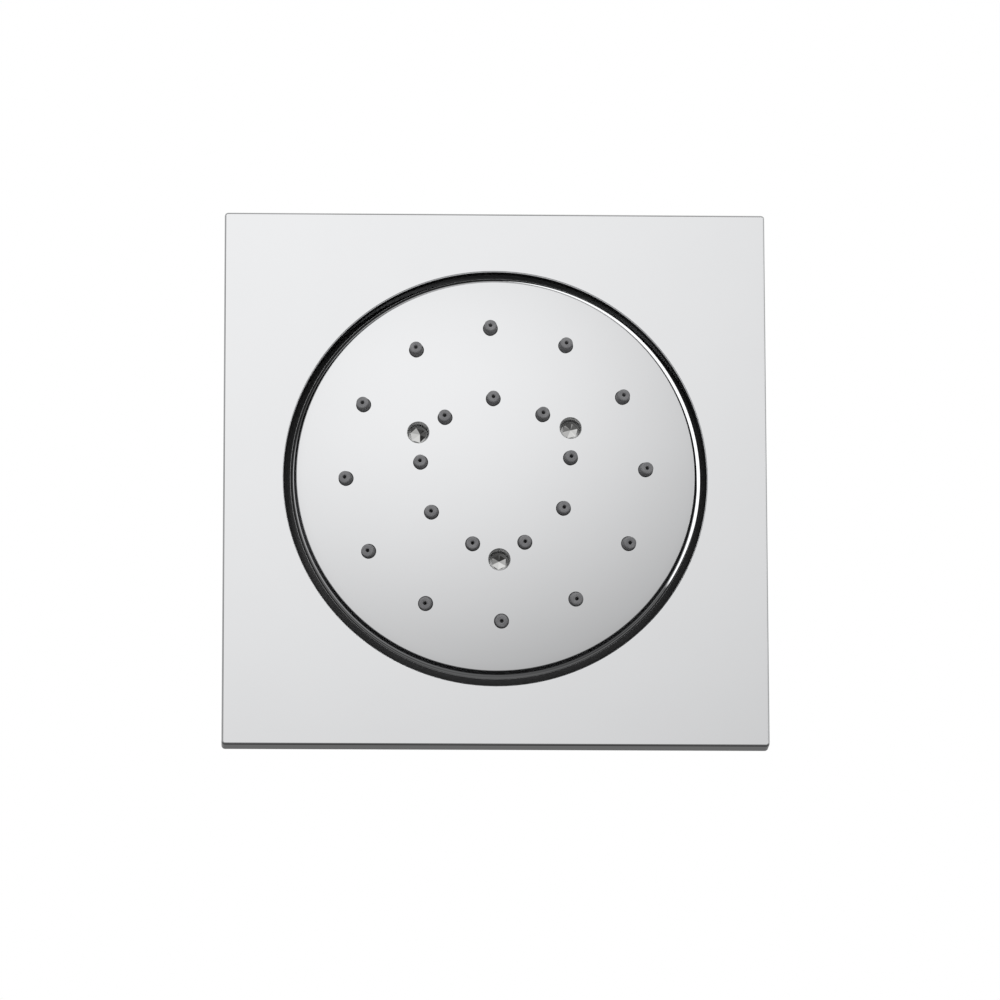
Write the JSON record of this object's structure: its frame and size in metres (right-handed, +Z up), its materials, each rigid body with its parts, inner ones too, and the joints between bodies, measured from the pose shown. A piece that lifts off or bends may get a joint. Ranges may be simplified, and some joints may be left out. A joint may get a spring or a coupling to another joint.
{
  "type": "adjustable shower head",
  "caption": "Flush wall shower head: a round chrome spray face with rubber nozzles swivels on a hollow ball in the opening of a square cover plate, with a housing behind.",
  "frame": {"origin": "centre of the four wall-screw holes, on the finished face of the wall", "axes": "-Y out of the wall, the way the spray face looks; +Y into the wall along the inlet; +Z up; +X to the right as seen from the front"},
  "size_m": [0.125, 0.079, 0.125],
  "materials": {
    "plate_chrome": "polished chrome plating",
    "face_chrome": "polished chrome plating",
    "plated_brass": "chrome-plated brass, finely turned",
    "brass": "machined, unplated",
    "stainless": "bright rolled or turned stainless steel",
    "silicone": "matt moulded silicone",
    "seal_rubber": "smooth black rubber",
    "foam": "closed-cell foam",
    "shell_plastic": "black moulded plastic, fine grain",
    "housing_plastic": "grey moulded plastic, fine grain",
    "white_plastic": "white moulded plastic",
    "seat_plastic": "smooth low-friction plastic"
  },
  "bodies": {
    "wall_unit": {"cover_plate": "plate_chrome", "plate_seal": "foam", "plate_springs": "stainless", "housing": "housing_plastic", "inlet_body": "brass", "body_gasket": "seal_rubber", "lock_nut": "brass", "inlet_screen": "stainless", "flow_regulator": "white_plastic", "regulator_seal": "seal_rubber", "stem_seal": "seal_rubber", "ball_stem": "plated_brass"},
    "rear_seat_ring": {"rear_seat": "seat_plastic"},
    "front_seat_ring": {"front_seat": "seat_plastic", "ball_seal": "seal_rubber"},
    "spray_head": {"spring_washer": "stainless", "swivel_cup": "brass", "cup_seal": "seal_rubber", "retaining_nut": "brass", "head_shell": "shell_plastic", "chamber_seal": "seal_rubber", "distributor": "white_plastic", "nozzle_mat": "silicone", "screw_seals": "seal_rubber", "face_screws": "stainless", "spray_face": "face_chrome"}
  },
  "joints": [
    {"name": "tilt_up_down", "type": "hinge", "parent": "wall_unit", "child": "rear_seat_ring", "pos_m": [0, 0.018, 0], "axis": [1, 0, 0], "range_deg": [-7, 7]},
    {"name": "turn_side", "type": "hinge", "parent": "rear_seat_ring", "child": "front_seat_ring", "pos_m": [0, 0.018, 0], "axis": [0, 0, 1], "range_deg": [-7, 7]},
    {"name": "spin", "type": "hinge", "parent": "front_seat_ring", "child": "spray_head", "pos_m": [0, 0.018, 0], "axis": [0, 1, 0], "continuous": true}
  ]
}
